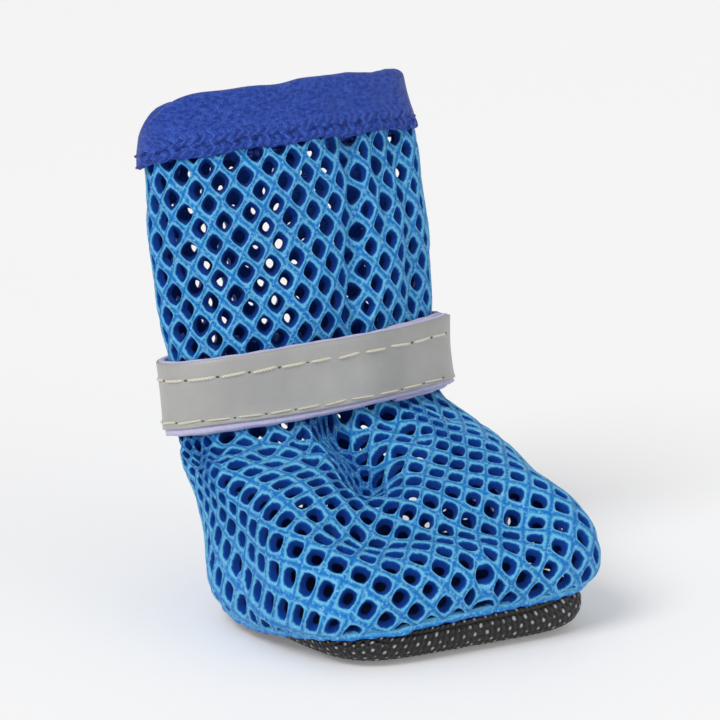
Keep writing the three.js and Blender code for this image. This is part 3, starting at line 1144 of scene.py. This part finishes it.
def paint_shade_inside(piece, finish):
    """Gives the second finish to the faces that look up from inside the sole's outline, above its
    thickness."""
    mesh = piece.data
    mesh.materials.append(finish)
    normals, middles = np.empty(len(mesh.polygons) * 3), np.empty(len(mesh.polygons) * 3)
    mesh.polygons.foreach_get("normal", normals)
    mesh.polygons.foreach_get("center", middles)
    x, y, height = middles.reshape(-1, 3).T / MM
    power = np.where(x > 0, SOLE_TOE_POWER, SOLE_HEEL_POWER)
    share = ((np.abs(x) / SOLE_HALF_LENGTH) ** power + (np.abs(y) / SOLE_HALF_WIDTH) ** power) ** (1 / power)
    inside = (normals.reshape(-1, 3)[:, 2] > 0.3) & (height > 1.9) & (share < 0.93)
    slots = inside.astype(np.int32)
    mesh.polygons.foreach_set("material_index", slots)
    print(int(slots.sum()), "faces of the inner sole")


dress(sole_finish(), sole_object)
paint_shade_inside(sole_object, inner_sole_painted_shade_finish())


# %% [markdown]
# ## The ribbon's finish
# The ribbon is a fine twill of royal blue polyester, crinkled all over. Near its lower edge the zigzag seam
# pulls it into chevrons: a wave round the collar, pushed to and fro by a triangle wave up the ribbon. The
# raised parts of the crinkles and chevrons are painted lighter as painted highlight, and their hollows darker
# as painted shade, most of all near the lower edge.


# %% Ribbon finish
def ribbon_finish():
    finish = Finish("royal blue ribbon", Specular_IOR_Level=0.35)
    along, across = finish.cloth_map()
    place = finish.place()
    fine = finish.noise(place, 2300)
    crinkle = finish.noise(place, 1000, 2.0, stretch=(1.0, 1.0, 2.0)).sharper(3)
    tone = finish.noise(place, 140)
    twill = (across * 260 + along * 60).wave()
    lower = ((0.085 - along) * 30).clipped()
    to_and_fro = ((along * 26).part() - 0.5).size() * 1.1
    chevron = (across * 74 + to_and_fro + crinkle * 0.35).wave()
    relief = crinkle * (1.0 - lower * 0.5) + chevron * lower
    colour = finish.blend(tone * 0.6, rgb(22, 58, 162), rgb(38, 80, 194))
    # Painted highlight on the raised crinkles and chevrons.
    colour = finish.blend(relief * 0.5, colour, rgb(72, 112, 218))
    # Painted shade in their hollows, deeper near the lower edge.
    colour = finish.blend((0.42 - relief).at_least(0) * (lower + 0.5), colour, rgb(8, 20, 100))
    return finish.feed(
        Base_Color=colour,
        Roughness=0.36 + fine * 0.25,
        Normal=finish.bump(twill * 0.25 + fine * 0.5 + relief * 1.4, 0.9, 0.0005),
    )


dress(ribbon_finish(), ribbon_piece, ribbon_thread)


# %% [markdown]
# ## The strap's finishes
# The silver tape is grey with a faint cloudiness, and its tiny glass beads make it smooth and a little
# bright. The pale tape is matt and fuzzy. The thread is cream.


# %% Strap finishes
def tape_finish():
    finish = Finish("silver reflective tape", Metallic=0.25, Sheen_Weight=0.1)
    place = finish.place()
    cloud = finish.noise(place, 120, 4.0)
    grain = finish.noise(place, 4200, 2.0)
    streak = finish.noise(place, 60, stretch=(1.0, 1.0, 0.35)).sharper(2.4)
    colour = finish.blend(cloud, rgb(148, 148, 146), rgb(190, 189, 186))
    colour = finish.blend(streak * 0.25, colour, rgb(206, 205, 203))
    colour = finish.blend(grain * 0.3, colour, rgb(128, 128, 128))
    return finish.feed(
        Base_Color=colour,
        Roughness=0.40 + grain * 0.15,
        Normal=finish.bump(grain * 0.6 + cloud, 0.3, 0.0002),
    )


def backing_finish():
    finish = Finish("pale lavender hook-and-loop", Roughness=0.85, Sheen_Weight=0.4)
    place = finish.place()
    loops = finish.noise(place, 1900, 4.0, 0.7)
    colour = finish.blend(loops, rgb(176, 170, 216), rgb(220, 216, 242))
    return finish.feed(Base_Color=colour, Normal=finish.bump(loops, 0.8, 0.0004))


def thread_finish():
    finish = Finish("cream thread", Roughness=0.55, Sheen_Weight=0.3)
    along, across = finish.cloth_map()
    twist = (across * 9 + along * 2).wave()
    colour = finish.blend(twist, rgb(196, 190, 170), rgb(228, 224, 206))
    return finish.feed(Base_Color=colour, Normal=finish.bump(twist, 0.6, 0.0001))


def needle_hole_finish():
    finish = Finish("shadow in a needle hole", Roughness=0.9)
    shade = finish.noise(finish.place(), 900)
    return finish.feed(Base_Color=finish.ramp(shade, [(0, rgb(70, 66, 60)), (1, rgb(104, 98, 90))]))


dress(tape_finish(), tape_piece)
dress(backing_finish(), backing_piece)
dress(thread_finish(), strap_thread)
dress(needle_hole_finish(), needle_holes)

# %% [markdown]
# ## Floor, light and camera
# A pale floor that glows a little, a soft key from above on the camera's left, a broad fill on its right and
# a pale world give the even light of a product table. The camera is far away with a long lens, so that the
# boot keeps its proportions.


# %% Floor and lights
FLOOR_HALF = 3.0


def floor():
    mesh = bpy.data.meshes.new("floor")
    corners = np.array([(-1, -1, 0), (1, -1, 0), (1, 1, 0), (-1, 1, 0)]) * FLOOR_HALF
    mesh.from_pydata(corners.tolist(), [], [(0, 1, 2, 3)])
    plane = linked("floor", mesh)
    plane.location.z = cad_box[0][2] - 0.0002
    finish = Finish("pale floor", Roughness=0.6, Emission_Color=(1, 1, 1, 1), Emission_Strength=0.17)
    patch = finish.noise(finish.place(), 3.0)
    dress(finish.feed(Base_Color=finish.blend(patch, (0.86, 0.86, 0.87, 1), (0.9, 0.9, 0.9, 1))), plane)
    return plane


VIEW_AZIMUTH = math.radians(58.0)
VIEW_ELEVATION = math.radians(14.5)
AIM = Vector((-0.010, 0.0, 0.0405))
DISTANCE = 1.3


def from_camera(side, up, near):
    """A place given from the boot's middle: metres to the camera's right, upwards, and towards the camera."""
    right = Vector((math.cos(VIEW_AZIMUTH), math.sin(VIEW_AZIMUTH), 0))
    toward = Vector((math.sin(VIEW_AZIMUTH), -math.cos(VIEW_AZIMUTH), 0))
    return AIM + right * side + Vector((0, 0, up)) + toward * near


def lamp(kind, name, place, strength, **settings):
    """A light that points at the boot's middle."""
    light = bpy.data.lights.new(name, kind)
    light.energy = strength
    for key, value in settings.items():
        setattr(light, key, value)
    made = linked(name, light)
    made.location = place
    made.rotation_euler = (AIM - Vector(place)).to_track_quat("-Z", "Y").to_euler()
    print(kind.lower(), "light", name, "with strength", strength)


floor()
lamp("SUN", "key", from_camera(-0.45, 0.75, 0.55), 1.5, angle=math.radians(30))
lamp("AREA", "fill", from_camera(0.7, 0.25, 0.6), 1.2, shape="DISK", size=0.6)

world = bpy.data.worlds.new("pale studio")
world.use_nodes = True
world.node_tree.nodes["Background"].inputs["Color"].default_value = (1, 1, 1, 1)
world.node_tree.nodes["Background"].inputs["Strength"].default_value = 0.5
bpy.context.scene.world = world
bpy.context.scene.view_settings.view_transform = "Standard"

# %% Camera
lens = bpy.data.cameras.new("camera")
lens.sensor_width = 36
lens.lens = 400
lens.clip_end = 20
camera = linked("camera", lens)
back = Vector(
    (
        math.sin(VIEW_AZIMUTH) * math.cos(VIEW_ELEVATION),
        -math.cos(VIEW_AZIMUTH) * math.cos(VIEW_ELEVATION),
        math.sin(VIEW_ELEVATION),
    )
)
camera.location = AIM + back * DISTANCE
camera.rotation_euler = back.to_track_quat("Z", "Y").to_euler()
bpy.context.scene.camera = camera

# %% Finish
bpy.context.view_layer.update()
